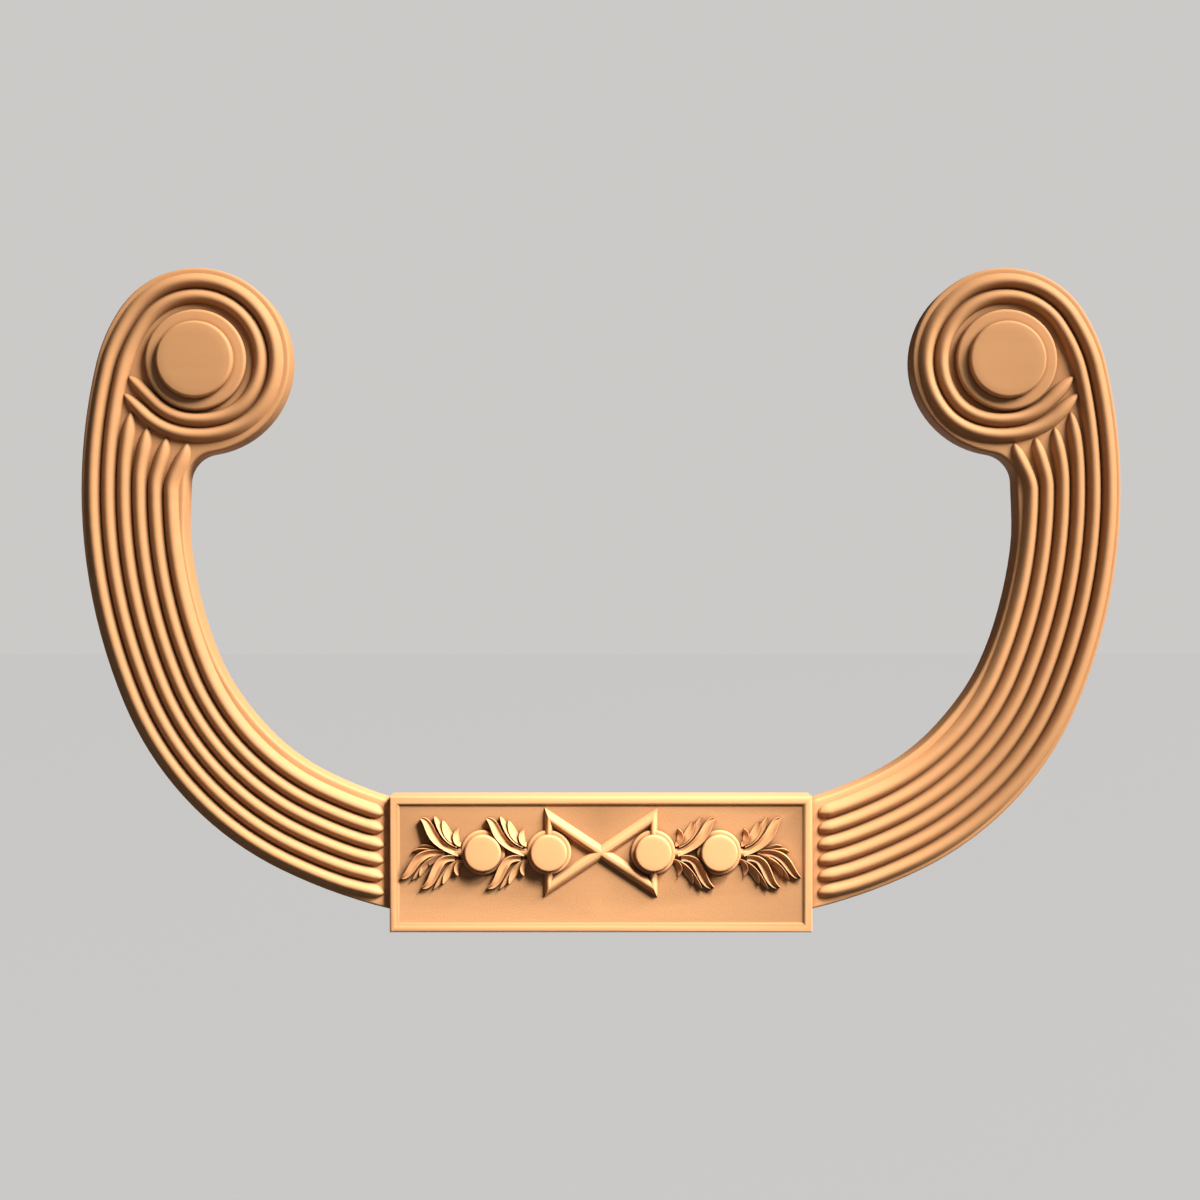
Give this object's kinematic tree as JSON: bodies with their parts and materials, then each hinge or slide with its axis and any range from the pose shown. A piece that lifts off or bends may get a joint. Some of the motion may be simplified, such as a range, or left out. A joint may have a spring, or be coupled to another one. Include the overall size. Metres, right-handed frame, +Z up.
{
  "type": "scroll onlay",
  "caption": "carved wooden relief onlay: reeded scroll arms rise from a framed tablet with leaves, discs and a bow of bars and end in volutes with round bosses; flat back for fixing",
  "frame": {"origin": "middle of the tablet's flat back, where the onlay is fixed", "axes": "+X to the right of the ornament, +Y towards the surface behind it, +Z up towards the volutes"},
  "size_m": [0.5206, 0.024, 0.332],
  "materials": {
    "wood": "golden tan wood, satin, fine sanded carving"
  },
  "bodies": {
    "root": {"scroll_onlay": "wood"}
  },
  "joints": []
}
